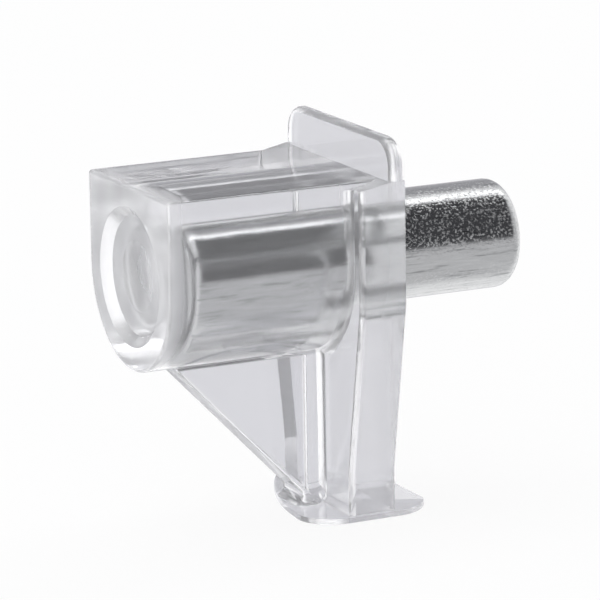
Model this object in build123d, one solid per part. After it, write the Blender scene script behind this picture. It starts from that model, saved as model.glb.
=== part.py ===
from build123d import *
import os

# A shelf support pin: a clear moulded bracket set round one end of a plain steel pin.
# The pin goes into a round hole in a cabinet's side, and the shelf lies on the bracket's flat top.
# Frame: +X runs along the pin towards its free end, +Z is up, and Y runs along the cabinet's side.
# The origin is on the pin's axis, in the plane of the back plate's rear face. Sizes are in millimetres.

# Steel pin. Its buried end stops one wall's thickness behind the dimple in the barrel's front
PIN_DIAMETER = 5.0
PIN_FREE_LENGTH = 7.5
PIN_END_WALL = 0.8
PIN_END_ROUND = 0.6

# Shallow groove in the pin, just inside the plate's rear face. The moulding fills it and can't slip off
GROOVE_WIDTH = 0.6
GROOVE_DEPTH = 0.2

# Barrel of the bracket: flat on top, round below, on the pin's axis
BARREL_LENGTH = 11.0
BARREL_RADIUS = 4.25
SHELF_HEIGHT = 4.1
BARREL_EDGE_ROUND = 0.15

# Shallow dish in the barrel's front face, with a smaller dimple at its middle
DISH_RADIUS = 3.15
DISH_DEPTH = 0.4
DISH_WALL = 0.45
DIMPLE_RADIUS = 1.6
DIMPLE_DEPTH = 0.2

# Back plate: wider than the barrel by a lip on each side, and narrower at its foot
PLATE_THICKNESS = 2.2
PLATE_SIDE_LIP = 0.95
SHOULDER_DROP = 0.3
PLATE_WAIST_DEPTH = 1.5
PLATE_FOOT_HALF_WIDTH = 3.9
FOOT_STRAIGHT_HEIGHT = 2.0
FOOT_DEPTH = 11.2
PLATE_EDGE_ROUND = 0.25

# Thin tab that stands up behind the shelf's end
TAB_THICKNESS = 0.7
TAB_RISE = 1.85
TAB_CORNER_RADIUS = 1.25
TAB_EDGE_ROUND = 0.3

# Gusset web below the barrel, in the middle plane
GUSSET_THICKNESS = 2.3
GUSSET_SETBACK = 1.7
GUSSET_TOE = 0.45
GUSSET_EDGE_ROUND = 0.2

# Fillet where the barrel and the gusset grow out of the plate, and the gusset out of the barrel
ROOT_FILLET = 0.4

# Thin leaf under the plate. Its front edge is lopsided: it reaches further on the -Y side
LEAF_THICKNESS = 0.25
LEAF_SIDE_LIP = 0.2
LEAF_REAR_REACH = 2.05
LEAF_REAR_CORNER_WIDTH = 1.35
LEAF_REAR_CORNER_START = 0.2
LEAF_CORNER_BULGE = 0.25
LEAF_FRONT_LIP = 1.4
LEAF_FRONT_OFFSET = 2.0
LEAF_MIDDLE_LIP = 1.1
LEAF_SIDE_START = 2.4
LEAF_FAR_SIDE_START = 2.0

# Sizes that follow from those above
PIN_BURIED_LENGTH = BARREL_LENGTH - DISH_DEPTH - DIMPLE_DEPTH - PIN_END_WALL
PLATE_HALF_WIDTH = BARREL_RADIUS + PLATE_SIDE_LIP
GUSSET_TOE_REACH = PLATE_THICKNESS + GUSSET_TOE
LEAF_HALF_WIDTH = PLATE_FOOT_HALF_WIDTH + LEAF_SIDE_LIP


def steel_pin():
    """A turned pin with both ends rounded over, and the groove that holds it in the moulding."""
    length = PIN_BURIED_LENGTH + PIN_FREE_LENGTH
    blank = Cylinder(PIN_DIAMETER / 2, length, rotation=(0, 90, 0))
    blank = Pos((PIN_FREE_LENGTH - PIN_BURIED_LENGTH) / 2, 0, 0) * blank
    blank = fillet(blank.edges().filter_by(GeomType.CIRCLE), PIN_END_ROUND)
    ring = Cylinder(PIN_DIAMETER, GROOVE_WIDTH, rotation=(0, 90, 0))
    ring -= Cylinder(PIN_DIAMETER / 2 - GROOVE_DEPTH, GROOVE_WIDTH, rotation=(0, 90, 0))
    return blank - Pos(-GROOVE_WIDTH / 2, 0, 0) * ring


def barrel():
    """The block round the pin, with its front rim and its two long top edges rounded."""
    section = Circle(BARREL_RADIUS)
    section += Pos(0, SHELF_HEIGHT / 2) * Rectangle(2 * BARREL_RADIUS, SHELF_HEIGHT)
    section -= Pos(0, SHELF_HEIGHT + BARREL_RADIUS) * Rectangle(2 * BARREL_RADIUS, 2 * BARREL_RADIUS)
    front = Plane(origin=(-BARREL_LENGTH, 0, 0), x_dir=(0, 1, 0), z_dir=(1, 0, 0))
    block = extrude(front * section, BARREL_LENGTH)
    rim = block.faces().sort_by(Axis.X)[0].edges()
    top_edges = block.faces().sort_by(Axis.Z)[-1].edges().filter_by(Axis.X)
    return fillet(rim + top_edges, BARREL_EDGE_ROUND)


def front_dish():
    """The space cut out of the barrel's front face: a dish with a sloping wall, and its dimple."""
    wall = Cone(DISH_RADIUS, DISH_RADIUS - DISH_WALL, DISH_DEPTH, rotation=(0, 90, 0))
    dish = Pos(DISH_DEPTH / 2 - BARREL_LENGTH, 0, 0) * wall
    ball_radius = (DIMPLE_RADIUS**2 + DIMPLE_DEPTH**2) / (2 * DIMPLE_DEPTH)
    deepest = DISH_DEPTH + DIMPLE_DEPTH - BARREL_LENGTH
    ball = Pos(deepest - ball_radius, 0, 0) * Sphere(ball_radius, rotation=(0, 0, 180))
    reach = Pos(deepest - DIMPLE_DEPTH, 0, 0) * Cylinder(DIMPLE_RADIUS, 2 * DIMPLE_DEPTH, rotation=(0, 90, 0))
    return dish + ball.intersect(reach)


def back_plate():
    """The plate against the cabinet's side, tapered towards its foot. Its shoulders fall away from the tab."""
    right_side = [
        (PLATE_HALF_WIDTH, SHELF_HEIGHT),
        (PLATE_HALF_WIDTH, -PLATE_WAIST_DEPTH),
        (PLATE_FOOT_HALF_WIDTH, FOOT_STRAIGHT_HEIGHT - FOOT_DEPTH),
        (PLATE_FOOT_HALF_WIDTH, -FOOT_DEPTH),
    ]
    left_side = [(-y, z) for y, z in reversed(right_side)]
    outline = make_face(Polyline(*right_side, *left_side, close=True).edges())
    front = Plane(origin=(-PLATE_THICKNESS, 0, 0), x_dir=(0, 1, 0), z_dir=(1, 0, 0))
    plate = extrude(front * outline, PLATE_THICKNESS)
    front_edges = plate.faces().sort_by(Axis.X)[0].edges()
    side_edges = front_edges.filter_by(lambda edge: abs(edge.center().Y) > PLATE_FOOT_HALF_WIDTH / 2)
    slope = [
        (-TAB_THICKNESS, SHELF_HEIGHT),
        (-PLATE_THICKNESS, SHELF_HEIGHT),
        (-PLATE_THICKNESS, SHELF_HEIGHT - SHOULDER_DROP),
    ]
    side = Plane(origin=(0, PLATE_HALF_WIDTH, 0), x_dir=(1, 0, 0), z_dir=(0, -1, 0))
    wedge = extrude(side * make_face(Polyline(*slope, close=True).edges()), 2 * PLATE_HALF_WIDTH)
    return fillet(side_edges, PLATE_EDGE_ROUND) - wedge


def rear_tab():
    """The thin tab above the shelf's level, with its two top corners rounded."""
    base = -PLATE_WAIST_DEPTH
    top = SHELF_HEIGHT + TAB_RISE
    front = Plane(origin=(-TAB_THICKNESS, 0, 0), x_dir=(0, 1, 0), z_dir=(1, 0, 0))
    outline = Pos(0, (base + top) / 2) * Rectangle(2 * PLATE_HALF_WIDTH, top - base)
    outline = fillet(outline.vertices().sort_by(Axis.Y)[-2:], TAB_CORNER_RADIUS)
    tab = extrude(front * outline, TAB_THICKNESS)
    rims = tab.edges().group_by(Axis.X)
    return fillet(rims[0] + rims[-1], TAB_EDGE_ROUND)


def gusset():
    """The web that braces the barrel against the foot of the plate."""
    start = -BARREL_LENGTH + GUSSET_SETBACK
    toe = -GUSSET_TOE_REACH
    root = -PLATE_THICKNESS / 2
    corners = [
        (start, 0),
        (start, -BARREL_RADIUS),
        (toe, -FOOT_DEPTH),
        (root, -FOOT_DEPTH),
        (root, 0),
    ]
    side = make_face(Polyline(*corners, close=True).edges())
    middle = Plane(origin=(0, GUSSET_THICKNESS / 2, 0), x_dir=(1, 0, 0), z_dir=(0, -1, 0))
    web = extrude(middle * side, GUSSET_THICKNESS)
    brace = web.faces().sort_by(Axis((0, 0, 0), (1, 0, 1)))[0]
    return fillet(brace.edges().filter_by(lambda edge: edge.length > GUSSET_THICKNESS), GUSSET_EDGE_ROUND)


def leaf():
    """The thin leaf that the plate and the gusset stand on."""
    side = LEAF_HALF_WIDTH
    rear = (LEAF_REAR_REACH, side - LEAF_REAR_CORNER_WIDTH)
    turn = (LEAF_REAR_CORNER_START, side)
    halfway = ((rear[0] + turn[0]) / 2 + LEAF_CORNER_BULGE, (rear[1] + turn[1]) / 2 + LEAF_CORNER_BULGE)
    reach = (-GUSSET_TOE_REACH - LEAF_FRONT_LIP, -LEAF_FRONT_OFFSET)
    middle = (-GUSSET_TOE_REACH - LEAF_MIDDLE_LIP, 0)
    side_start = (-LEAF_SIDE_START, -side)
    far_side = (-LEAF_FAR_SIDE_START, side)
    with BuildSketch(Plane.XY.offset(-FOOT_DEPTH - LEAF_THICKNESS)) as plan:
        with BuildLine():
            Line((rear[0], -rear[1]), rear)
            ThreePointArc(rear, halfway, turn)
            Line(turn, far_side)
            ThreePointArc(far_side, middle, reach)
            TangentArc(side_start, reach, tangent=(-1, 0))
            Line(side_start, (turn[0], -turn[1]))
            ThreePointArc((turn[0], -turn[1]), (halfway[0], -halfway[1]), (rear[0], -rear[1]))
        make_face()
    return extrude(plan.sketch, LEAF_THICKNESS)


def is_plate_root(edge):
    """True for an edge where the barrel or the gusset leaves the plate's front face."""
    box = edge.bounding_box()
    centre = edge.center()
    flat = box.size.X < ROOT_FILLET / 10 and abs(centre.X + PLATE_THICKNESS) < ROOT_FILLET / 10
    beside_barrel = abs(centre.Y) < BARREL_RADIUS + ROOT_FILLET / 10 and centre.Z > -BARREL_RADIUS
    beside_gusset = abs(abs(centre.Y) - GUSSET_THICKNESS / 2) < ROOT_FILLET / 10
    return flat and (beside_barrel or beside_gusset)


def is_barrel_root(edge):
    """True for an edge where a side of the gusset leaves the barrel's underside."""
    box = edge.bounding_box()
    level = box.size.Y < ROOT_FILLET / 10 and box.size.Z < ROOT_FILLET / 10
    return level and abs(abs(edge.center().Y) - GUSSET_THICKNESS / 2) < ROOT_FILLET / 10


def clear_bracket():
    """The whole moulding, set round the pin and dished at its front."""
    moulding = barrel() + back_plate() + rear_tab() + gusset() + leaf()
    roots = moulding.edges().filter_by(is_plate_root) + moulding.edges().filter_by(is_barrel_root)
    return fillet(roots, ROOT_FILLET) - steel_pin() - front_dish()


os.makedirs("parts", exist_ok=True)
export_step(clear_bracket(), "parts/clear_bracket.step")
export_step(steel_pin(), "parts/steel_pin.step")
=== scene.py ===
"""A clear moulded shelf support on a plated steel pin: its pieces, finishes, studio and camera."""

import math

import bmesh
import bpy
from mathutils import Matrix, Vector


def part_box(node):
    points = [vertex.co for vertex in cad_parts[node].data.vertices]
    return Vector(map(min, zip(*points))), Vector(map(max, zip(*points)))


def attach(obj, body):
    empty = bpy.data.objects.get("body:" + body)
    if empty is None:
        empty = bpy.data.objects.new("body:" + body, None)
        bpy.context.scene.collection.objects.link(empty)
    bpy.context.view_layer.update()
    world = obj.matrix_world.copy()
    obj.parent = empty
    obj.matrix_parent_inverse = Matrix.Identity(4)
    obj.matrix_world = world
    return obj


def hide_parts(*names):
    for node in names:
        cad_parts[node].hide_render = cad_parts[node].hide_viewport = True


bl_info = {
    "name": "Shelf Support Pin",
    "version": (1, 0, 0),
    "blender": (4, 5, 0),
    "location": "View3D > Sidebar > Shelf Pin",
    "description": "Builds a clear shelf support on its steel pin, with a plain studio",
    "category": "Add Mesh",
}

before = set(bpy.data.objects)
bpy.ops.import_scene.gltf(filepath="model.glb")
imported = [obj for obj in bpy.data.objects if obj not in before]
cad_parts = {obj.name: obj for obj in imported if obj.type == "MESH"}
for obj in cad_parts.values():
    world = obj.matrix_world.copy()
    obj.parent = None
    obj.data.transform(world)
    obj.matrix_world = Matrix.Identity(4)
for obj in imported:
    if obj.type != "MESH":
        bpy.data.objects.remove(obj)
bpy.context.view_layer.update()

MM = 0.001
BODY = "root"
BRACKET_NODE = "clear_bracket"
PIN_NODE = "steel_pin"
PIN_LOW, PIN_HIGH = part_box(PIN_NODE)
BRACKET_LOW, BRACKET_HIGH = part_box(BRACKET_NODE)
PIN_RADIUS = (PIN_HIGH.z - PIN_LOW.z) / 2


def linear(hex_colour):
    """The linear RGBA of an sRGB hex colour such as "#d8d7da"."""
    parts = [int(hex_colour[i : i + 2], 16) / 255 for i in (1, 3, 5)]
    return tuple(p / 12.92 if p <= 0.04045 else ((p + 0.055) / 1.055) ** 2.4 for p in parts) + (1.0,)


def add_node(tree, kind, settings=None, inputs=None):
    """Adds a node. settings are its attributes; an input is a value, or a socket to link from."""
    node = tree.nodes.new(kind)
    for name, value in (settings or {}).items():
        setattr(node, name, value)
    for name, value in (inputs or {}).items():
        socket = node.inputs[name]
        if isinstance(value, bpy.types.NodeSocket):
            tree.links.new(value, socket)
        else:
            socket.default_value = value
    return node


def add_maths(tree, operation, *values):
    """The result of a Math node on one or two values or sockets."""
    node = add_node(tree, "ShaderNodeMath", {"operation": operation}, dict(enumerate(values)))
    return node.outputs["Value"]


def new_material(name):
    """A material with an empty node tree."""
    material = bpy.data.materials.new(name)
    material.use_nodes = True
    material.node_tree.nodes.clear()
    return material, material.node_tree


def add_ramp(tree, value, stops):
    """The colour that a Color Ramp gives a value, from (position, sRGB hex) stops."""
    node = add_node(tree, "ShaderNodeValToRGB", inputs={"Fac": value})
    elements = node.color_ramp.elements
    elements.remove(elements[-1])
    elements[0].position = stops[0][0]
    elements[0].color = linear(stops[0][1])
    for position, colour in stops[1:]:
        elements.new(position).color = linear(colour)
    return node.outputs["Color"]


def add_range_ramp(tree, value, low, high, stops):
    """The colour that a ramp gives a value from low to high, with stops in the value's own units."""
    share = add_node(tree, "ShaderNodeMapRange", inputs={"Value": value, "From Min": low, "From Max": high})
    shares = [((at - low) / (high - low), colour) for at, colour in stops]
    return add_ramp(tree, share.outputs["Result"], shares)


# The plastic: the pitch, height and upward stretch of its flow waves, the size of its cloudy blotches,
# how far behind the front face the cloud starts and is full, and the X where the plate begins, with
# 0.1 mm to spare
WAVE_PITCH = 1.0 * MM
WAVE_HEIGHT = 0.05 * MM
WAVE_STRETCH = 4.0
BLOTCH_SIZE = 2.5 * MM
CLOUD_START = 1.2 * MM
CLOUD_FULL = 0.2 * MM
PLATE_START = -2.3 * MM
POLYCARBONATE_IOR = 1.585


def clear_plastic(look):
    """Injection-moulded clear polycarbonate: glossy, nearly colourless and a little hazy."""
    material, tree = new_material("clear_moulded_polycarbonate")
    coords = add_node(tree, "ShaderNodeTexCoord")
    place = coords.outputs["Object"]
    # Shallow flow waves left in the skin as the mould filled, drawn out upwards
    upwards = add_node(
        tree,
        "ShaderNodeMapping",
        inputs={"Vector": place, "Scale": (1.0, 1.0, 1 / WAVE_STRETCH)},
    )
    flow = add_node(
        tree,
        "ShaderNodeTexNoise",
        inputs={"Vector": upwards.outputs["Vector"], "Scale": 1 / WAVE_PITCH, "Detail": 2.0},
    )
    waves = add_node(
        tree,
        "ShaderNodeBump",
        inputs={"Height": flow.outputs["Fac"], "Strength": look.flow_strength, "Distance": WAVE_HEIGHT},
    )
    # The moulding is cloudy in blotches at its front face, and very slightly hazy and matt on the plate
    depth = add_node(tree, "ShaderNodeSeparateXYZ", inputs={"Vector": place}).outputs["X"]
    cloud = add_node(
        tree,
        "ShaderNodeMapRange",
        inputs={
            "Value": depth,
            "From Min": BRACKET_LOW.x + CLOUD_START,
            "From Max": BRACKET_LOW.x + CLOUD_FULL,
        },
    ).outputs["Result"]
    blotches = add_node(
        tree,
        "ShaderNodeTexNoise",
        inputs={"Vector": place, "Scale": 1 / BLOTCH_SIZE, "Detail": 1.0},
    ).outputs["Fac"]
    # The noise is 0.5 on average, so this factor is 1 on average
    cloud = add_maths(tree, "MULTIPLY", cloud, add_maths(tree, "ADD", blotches, 0.5))
    plate = add_maths(tree, "GREATER_THAN", depth, PLATE_START)
    matt = add_maths(
        tree,
        "ADD",
        add_maths(tree, "MULTIPLY", cloud, look.front_matt),
        add_maths(tree, "MULTIPLY", plate, look.plate_matt),
    )
    front_haze = add_maths(tree, "MULTIPLY", cloud, look.front_haze)
    clear = add_maths(tree, "SUBTRACT", 1.0 - look.haze, front_haze)
    plate_haze = add_maths(tree, "MULTIPLY", plate, look.plate_haze)
    clear = add_maths(tree, "SUBTRACT", clear, plate_haze)
    shader = add_node(
        tree,
        "ShaderNodeBsdfPrincipled",
        inputs={
            "Base Color": linear("#fafafc"),
            "Transmission Weight": clear,
            "IOR": POLYCARBONATE_IOR,
            "Roughness": add_maths(tree, "ADD", matt, look.roughness),
            "Normal": waves.outputs["Normal"],
        },
    )
    add_node(tree, "ShaderNodeOutputMaterial", inputs={"Surface": shader.outputs["BSDF"]})
    return material


# The plating: its lengthwise lines' pitch and height, how far X is squeezed to draw them out, and their
# tones; the raised specks' noise cell, the noise at which a speck starts and is full, and its height;
# the specks' share on the buried stretch, and half the length over which the two stretches meet
LINE_PITCH = 0.15 * MM
LINE_HEIGHT = 0.006 * MM
LINE_SQUEEZE = 0.08
LINE_TONES = [(0.3, "#9b9d9e"), (0.43, "#bfc0c1"), (0.7, "#c8c9ca")]
SPECK_CELL = 0.12 * MM
SPECK_START = 0.5
SPECK_FULL = 0.8
SPECK_HEIGHT = 0.02 * MM
BURIED_SPECKS = 0.2
STRETCH_FADE = 0.5 * MM


def plated_steel(look):
    """Zinc-plated mild steel, cut from drawn bar: grey metal with lengthwise lines and fine specks."""
    material, tree = new_material("zinc_plated_turned_steel")
    coords = add_node(tree, "ShaderNodeTexCoord")
    place = coords.outputs["Object"]
    # The free stretch is speckled all over, and the one inside the moulding is smoother
    across = add_node(tree, "ShaderNodeSeparateXYZ", inputs={"Vector": place}).outputs["X"]
    speckled = add_node(
        tree,
        "ShaderNodeMapRange",
        inputs={
            "Value": across,
            "From Min": -STRETCH_FADE,
            "From Max": STRETCH_FADE,
            "To Min": BURIED_SPECKS,
            "To Max": 1.0,
        },
    ).outputs["Result"]
    # The drawing lines run along the pin, so their pattern is drawn out along X
    along = add_node(tree, "ShaderNodeMapping", inputs={"Vector": place, "Scale": (LINE_SQUEEZE, 1.0, 1.0)})
    lines = add_node(
        tree,
        "ShaderNodeTexNoise",
        inputs={
            "Vector": along.outputs["Vector"],
            "Scale": 1 / LINE_PITCH,
            "Detail": 4.0,
            "Roughness": 0.6,
        },
    ).outputs["Fac"]
    # The specks are about half a noise cell wide, with steep sides that glint
    grains = add_node(
        tree,
        "ShaderNodeTexNoise",
        inputs={"Vector": place, "Scale": 1 / SPECK_CELL, "Detail": 4.0, "Roughness": 0.6},
    ).outputs["Fac"]
    specks = add_node(
        tree,
        "ShaderNodeMapRange",
        settings={"interpolation_type": "SMOOTHSTEP"},
        inputs={"Value": grains, "From Min": SPECK_START, "From Max": SPECK_FULL},
    ).outputs["Result"]
    line_bump = add_node(
        tree,
        "ShaderNodeBump",
        inputs={"Height": lines, "Strength": look.line_strength, "Distance": LINE_HEIGHT},
    )
    speck_bump = add_node(
        tree,
        "ShaderNodeBump",
        inputs={
            "Height": add_maths(tree, "MULTIPLY", specks, speckled),
            "Strength": look.speck_strength,
            "Distance": SPECK_HEIGHT,
            "Normal": line_bump.outputs["Normal"],
        },
    )
    shader = add_node(
        tree,
        "ShaderNodeBsdfPrincipled",
        inputs={
            "Base Color": add_ramp(tree, lines, LINE_TONES),
            "Metallic": 1.0,
            "Roughness": look.roughness,
            "Normal": speck_bump.outputs["Normal"],
        },
    )
    add_node(tree, "ShaderNodeOutputMaterial", inputs={"Surface": shader.outputs["BSDF"]})
    return material


class BracketLook(bpy.types.PropertyGroup):
    """What a user may change on the clear bracket."""

    roughness: bpy.props.FloatProperty(
        name="Roughness", description="Roughness of the moulded skin", default=0.06, min=0.0, max=1.0
    )
    haze: bpy.props.FloatProperty(
        name="Haze",
        description="Share of light that the plastic scatters",
        default=0.06,
        min=0.0,
        max=1.0,
    )
    front_haze: bpy.props.FloatProperty(
        name="Front haze", description="Haze added at the front face", default=0.4, min=0.0, max=1.0
    )
    plate_haze: bpy.props.FloatProperty(
        name="Plate haze", description="Haze added on the back plate", default=0.04, min=0.0, max=1.0
    )
    front_matt: bpy.props.FloatProperty(
        name="Matt front",
        description="Roughness added at the front face",
        default=0.15,
        min=0.0,
        max=1.0,
    )
    plate_matt: bpy.props.FloatProperty(
        name="Matt plate",
        description="Roughness added on the back plate",
        default=0.04,
        min=0.0,
        max=1.0,
    )
    flow_strength: bpy.props.FloatProperty(
        name="Flow waves",
        description="Strength of the moulding's flow waves",
        default=0.15,
        min=0.0,
        max=1.0,
    )


class PinLook(bpy.types.PropertyGroup):
    """What a user may change on the steel pin."""

    roughness: bpy.props.FloatProperty(
        name="Roughness", description="Roughness of the plating", default=0.18, min=0.0, max=1.0
    )
    line_strength: bpy.props.FloatProperty(
        name="Drawing lines",
        description="Strength of the lines along the pin",
        default=0.3,
        min=0.0,
        max=1.0,
    )
    speck_strength: bpy.props.FloatProperty(
        name="Specks",
        description="Strength of the raised specks in the plating",
        default=0.5,
        min=0.0,
        max=1.0,
    )
    end_round: bpy.props.FloatProperty(
        name="End rounding",
        description="Radius of the rounded ends",
        default=0.6 * MM,
        subtype="DISTANCE",
    )


class StudioLook(bpy.types.PropertyGroup):
    """What a user may change in the studio."""

    lamp_power: bpy.props.FloatProperty(
        name="Lamp power",
        description="Power of the overhead soft box",
        default=0.15,
        min=0.0,
        unit="POWER",
    )


def new_piece(name, mesh_data, node, material):
    """Makes an object that rides on the model's body and stands for a node."""
    piece = bpy.data.objects.new(name, mesh_data)
    bpy.context.scene.collection.objects.link(piece)
    mesh_data.materials.clear()
    mesh_data.materials.append(material)
    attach(piece, BODY)
    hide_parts(node)
    return piece


class SHELFPIN_OT_bracket(bpy.types.Operator):
    """Adds the clear moulded bracket"""

    bl_idname = "shelfpin.bracket"
    bl_label = "Clear bracket"

    MERGE_DISTANCE = 0.0005 * MM
    SLACK = 0.01 * MM

    def execute(self, context):
        look = context.scene.bracket_look
        mesh_data = bpy.data.meshes.new("bracket_moulding")
        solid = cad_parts[BRACKET_NODE].data
        shell = bmesh.new()
        shell.from_mesh(solid)
        # The solid's own normals are kept, so that every rounding stays truly round
        exact = shell.loops.layers.float_vector.new("exact")
        corners = [corner for face in shell.faces for corner in face.loops]
        for corner, normal in zip(corners, solid.corner_normals):
            corner[exact] = normal.vector
        bmesh.ops.remove_doubles(shell, verts=shell.verts, dist=self.MERGE_DISTANCE)
        # The bore is left out, because the plastic is moulded onto the pin with no air between them
        widest = PIN_RADIUS + self.SLACK
        bore = [
            face
            for face in shell.faces
            if all(
                math.hypot(v.co.y, v.co.z) < widest and PIN_LOW.x - self.SLACK < v.co.x < self.SLACK
                for v in face.verts
            )
        ]
        bmesh.ops.delete(shell, geom=bore, context="FACES")
        rim = [edge for edge in shell.edges if edge.is_boundary]
        for face in bmesh.ops.contextual_create(shell, geom=rim)["faces"]:
            face.normal_update()
            for corner in face.loops:
                corner[exact] = face.normal
        for face in shell.faces:
            face.smooth = True
        shell.to_mesh(mesh_data)
        shell.free()
        mesh_data.normals_split_custom_set([corner.vector for corner in mesh_data.attributes["exact"].data])
        mesh_data.attributes.remove(mesh_data.attributes["exact"])
        new_piece("bracket_moulding", mesh_data, BRACKET_NODE, clear_plastic(look))
        return {"FINISHED"}


class SHELFPIN_OT_pin(bpy.types.Operator):
    """Adds the plated steel pin"""

    bl_idname = "shelfpin.pin"
    bl_label = "Steel pin"

    SEGMENTS = 160
    RINGS = 60
    ROUNDING_STEPS = 5

    def execute(self, context):
        look = context.scene.pin_look
        mesh_data = bpy.data.meshes.new("turned_pin")
        pin = bmesh.new()
        length = PIN_HIGH.x - PIN_LOW.x
        bmesh.ops.create_cone(
            pin,
            cap_ends=True,
            segments=self.SEGMENTS,
            radius1=PIN_RADIUS,
            radius2=PIN_RADIUS,
            depth=length,
        )
        rims = [edge for edge in pin.edges if abs(edge.verts[0].co.z - edge.verts[1].co.z) < length / 2]
        bmesh.ops.bevel(
            pin,
            geom=rims,
            offset=look.end_round,
            segments=self.ROUNDING_STEPS,
            profile=0.5,
            affect="EDGES",
            material=-1,
        )
        sides = [edge for edge in pin.edges if edge.calc_length() > length / 2]
        bmesh.ops.subdivide_edges(pin, edges=sides, cuts=self.RINGS, use_grid_fill=True)
        turn = Matrix.Rotation(math.radians(90), 4, "Y")
        place = Matrix.Translation(((PIN_HIGH.x + PIN_LOW.x) / 2, 0, 0)) @ turn
        bmesh.ops.transform(pin, matrix=place, verts=pin.verts)
        bmesh.ops.recalc_face_normals(pin, faces=pin.faces)
        for face in pin.faces:
            face.smooth = True
        pin.to_mesh(mesh_data)
        pin.free()
        new_piece("turned_pin", mesh_data, PIN_NODE, plated_steel(look))
        return {"FINISHED"}


# The studio that all but the camera's own rays see. Its walls' colours go by the turn about +Z, in
# degrees from +Y towards +X
WALL_TURNS = [
    (-180, "#d0d0d1"),
    (-150, "#ffffff"),
    (80, "#ffffff"),
    (110, "#d0d0d1"),
    (180, "#d0d0d1"),
]
# The grey backdrop behind the object: how much of it shows at a turn about +Z, and its colours by how
# far up a direction points, from -1 straight down to 1 straight up
BACKDROP_TURNS = [(-180, "#000000"), (-40, "#000000"), (-28, "#ffffff"), (42, "#ffffff"), (56, "#000000")]
BACKDROP_HEIGHTS = [
    (-1.0, "#ffffff"),
    (-0.55, "#ffffff"),
    (-0.4, "#c9c9cd"),
    (0.0, "#c9c9cc"),
    (0.2, "#a9a9ad"),
    (0.7, "#a0a0a3"),
    (0.82, "#ffffff"),
]
# The dark doorway on the camera's right: how much of it shows at a turn up from -Y about the pin's axis,
# in degrees, and at a direction's reach along +X
DOORWAY_TURNS = [(-180, "#000000"), (-6, "#000000"), (0, "#ffffff"), (99, "#ffffff"), (105, "#000000")]
DOORWAY_REACH = [
    (-1.0, "#000000"),
    (0.1, "#000000"),
    (0.25, "#ffffff"),
    (0.62, "#ffffff"),
    (0.78, "#000000"),
]
DOORWAY_COLOUR = "#404043"
STUDIO_STRENGTH = 1.25


def white_surround():
    """The world: plain white to the camera's own rays, and the pale studio to all the others."""
    world = bpy.data.worlds.new("pale_studio")
    bpy.context.scene.world = world
    world.use_nodes = True
    tree = world.node_tree
    tree.nodes.clear()
    coords = add_node(tree, "ShaderNodeTexCoord")
    axes = add_node(tree, "ShaderNodeSeparateXYZ", inputs={"Vector": coords.outputs["Generated"]}).outputs
    about_z = add_maths(tree, "DEGREES", add_maths(tree, "ARCTAN2", axes["X"], axes["Y"]))
    ahead = add_maths(tree, "MULTIPLY", axes["Y"], -1.0)
    about_pin = add_maths(tree, "DEGREES", add_maths(tree, "ARCTAN2", axes["Z"], ahead))
    walls = add_range_ramp(tree, about_z, -180, 180, WALL_TURNS)
    backdrop = add_range_ramp(tree, axes["Z"], -1, 1, BACKDROP_HEIGHTS)
    backdrop_share = add_range_ramp(tree, about_z, -180, 180, BACKDROP_TURNS)
    backed = add_node(
        tree,
        "ShaderNodeMixRGB",
        inputs={"Fac": backdrop_share, "Color1": walls, "Color2": backdrop},
    )
    doorway_turn = add_range_ramp(tree, about_pin, -180, 180, DOORWAY_TURNS)
    doorway_reach = add_range_ramp(tree, axes["X"], -1, 1, DOORWAY_REACH)
    studio = add_node(
        tree,
        "ShaderNodeMixRGB",
        inputs={
            "Fac": add_maths(tree, "MULTIPLY", doorway_turn, doorway_reach),
            "Color1": backed.outputs["Color"],
            "Color2": linear(DOORWAY_COLOUR),
        },
    )
    path = add_node(tree, "ShaderNodeLightPath")
    room = add_node(
        tree,
        "ShaderNodeBackground",
        inputs={"Color": studio.outputs["Color"], "Strength": STUDIO_STRENGTH},
    )
    wall = add_node(tree, "ShaderNodeBackground", inputs={"Color": linear("#ffffff"), "Strength": 1.0})
    shown = add_node(
        tree,
        "ShaderNodeMixShader",
        inputs={
            "Fac": path.outputs["Is Camera Ray"],
            1: room.outputs["Background"],
            2: wall.outputs["Background"],
        },
    )
    add_node(tree, "ShaderNodeOutputWorld", inputs={"Surface": shown.outputs["Shader"]})


# The share of the paper that is plain white to the camera. The rest takes light and shadow
PAPER_WHITE_SHARE = 0.9


def table_paper():
    """Matt white paper that shows only a faint shadow. Plastic and metal see the studio through it."""
    material, tree = new_material("matt_white_paper")
    path = add_node(tree, "ShaderNodeLightPath")
    paper = add_node(tree, "ShaderNodeBsdfDiffuse", inputs={"Color": linear("#f2f2f3")})
    bright = add_node(tree, "ShaderNodeEmission", inputs={"Color": linear("#ffffff"), "Strength": 1.0})
    clear = add_node(tree, "ShaderNodeBsdfTransparent")
    indirect = add_maths(
        tree, "MAXIMUM", path.outputs["Is Glossy Ray"], path.outputs["Is Transmission Ray"]
    )
    white = add_maths(tree, "MULTIPLY", path.outputs["Is Camera Ray"], PAPER_WHITE_SHARE)
    reflected = add_node(
        tree,
        "ShaderNodeMixShader",
        inputs={"Fac": indirect, 1: paper.outputs["BSDF"], 2: clear.outputs["BSDF"]},
    )
    shown = add_node(
        tree,
        "ShaderNodeMixShader",
        inputs={"Fac": white, 1: reflected.outputs["Shader"], 2: bright.outputs["Emission"]},
    )
    add_node(tree, "ShaderNodeOutputMaterial", inputs={"Surface": shown.outputs["Shader"]})
    return material


def soft_box(name, place, target, size, power):
    """Adds a rectangular area lamp that faces a point, with its first side roughly along X."""
    lamp = bpy.data.lights.new(name, "AREA")
    lamp.shape = "RECTANGLE"
    lamp.size, lamp.size_y = size
    lamp.energy = power
    holder = bpy.data.objects.new(name, lamp)
    bpy.context.scene.collection.objects.link(holder)
    holder.location = place
    holder.rotation_euler = (Vector(place) - target).to_track_quat("Z", "Y").to_euler()


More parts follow.
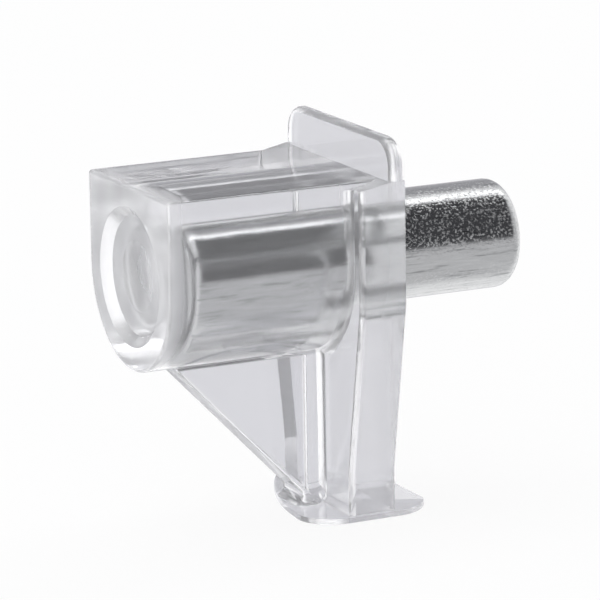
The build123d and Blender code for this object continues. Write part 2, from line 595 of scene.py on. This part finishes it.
# Where the camera stands: degrees round from -Y towards +X, above the horizon and of roll, and its
# distance from the point that it faces. The distance, the point, the lens and the sensor are in
# millimetres
CAMERA_AZIMUTH = -26.19
CAMERA_ELEVATION = 13.31
CAMERA_ROLL = -0.89
CAMERA_DISTANCE = 200.0
CAMERA_TARGET = (-2.365, 0.59, -2.176)
CAMERA_LENS = 266.5
CAMERA_SENSOR = 36.0
CAMERA_CLIP_START = 10.0


def aim_camera():
    """Adds the camera: a long lens, a little above the shelf's level and round towards the barrel."""
    azimuth = math.radians(CAMERA_AZIMUTH)
    elevation = math.radians(CAMERA_ELEVATION)
    away = Vector(
        (
            math.sin(azimuth) * math.cos(elevation),
            -math.cos(azimuth) * math.cos(elevation),
            math.sin(elevation),
        )
    )
    data = bpy.data.cameras.new("camera")
    data.lens = CAMERA_LENS
    data.sensor_width = CAMERA_SENSOR
    data.clip_start = CAMERA_CLIP_START * MM
    camera = bpy.data.objects.new("camera", data)
    bpy.context.scene.collection.objects.link(camera)
    roll = Matrix.Rotation(math.radians(CAMERA_ROLL), 4, "Z")
    camera.matrix_world = (
        Matrix.Translation(Vector(CAMERA_TARGET) * MM + away * CAMERA_DISTANCE * MM)
        @ away.to_track_quat("Z", "Y").to_matrix().to_4x4()
        @ roll
    )
    bpy.context.scene.camera = camera


class SHELFPIN_OT_stage(bpy.types.Operator):
    """Adds the floor, lamp, world and camera"""

    bl_idname = "shelfpin.stage"
    bl_label = "Studio"

    FLOOR_SIZE = 1.2
    LAMP_PLACE = (0, 0.077, 0.238)
    LAMP_SIZE = (0.5, 0.06)
    LIGHT_TURNS = 32

    def execute(self, context):
        look = context.scene.studio_look
        floor_mesh = bpy.data.meshes.new("floor")
        sheet = bmesh.new()
        bmesh.ops.create_grid(sheet, x_segments=1, y_segments=1, size=self.FLOOR_SIZE / 2)
        bmesh.ops.translate(sheet, vec=(0, 0, BRACKET_LOW.z), verts=sheet.verts)
        sheet.to_mesh(floor_mesh)
        sheet.free()
        floor_mesh.materials.append(table_paper())
        floor = bpy.data.objects.new("floor", floor_mesh)
        context.scene.collection.objects.link(floor)
        middle = (BRACKET_LOW + BRACKET_HIGH) / 2
        soft_box("overhead_box", self.LAMP_PLACE, middle, self.LAMP_SIZE, look.lamp_power)
        white_surround()
        aim_camera()
        context.scene.view_settings.view_transform = "Standard"
        # Light turns back at many faces inside clear plastic before it leaves
        context.scene.cycles.max_bounces = self.LIGHT_TURNS
        context.scene.cycles.glossy_bounces = self.LIGHT_TURNS
        context.scene.cycles.transmission_bounces = self.LIGHT_TURNS
        return {"FINISHED"}


class SHELFPIN_PT_panel(bpy.types.Panel):
    """Lists the pieces and the studio in the 3D view's sidebar"""

    bl_idname = "SHELFPIN_PT_panel"
    bl_label = "Shelf Support Pin"
    bl_space_type = "VIEW_3D"
    bl_region_type = "UI"
    bl_category = "Shelf Pin"

    def draw(self, context):
        for group in ("bracket_look", "pin_look", "studio_look"):
            looks = getattr(context.scene, group)
            for name in looks.bl_rna.properties.keys():
                if name not in ("rna_type", "name"):
                    self.layout.prop(looks, name)
        for operator in OPERATORS:
            self.layout.operator(operator.bl_idname)


LOOKS = {"bracket_look": BracketLook, "pin_look": PinLook, "studio_look": StudioLook}
OPERATORS = (SHELFPIN_OT_bracket, SHELFPIN_OT_pin, SHELFPIN_OT_stage)


def register():
    for cls in (*LOOKS.values(), *OPERATORS, SHELFPIN_PT_panel):
        bpy.utils.register_class(cls)
    for name, look in LOOKS.items():
        setattr(bpy.types.Scene, name, bpy.props.PointerProperty(type=look))


def unregister():
    for name in LOOKS:
        delattr(bpy.types.Scene, name)
    for cls in reversed((*LOOKS.values(), *OPERATORS, SHELFPIN_PT_panel)):
        bpy.utils.unregister_class(cls)


def main():
    register()
    bpy.ops.shelfpin.bracket()
    bpy.ops.shelfpin.pin()
    bpy.ops.shelfpin.stage()


if __name__ == "__main__":
    main()
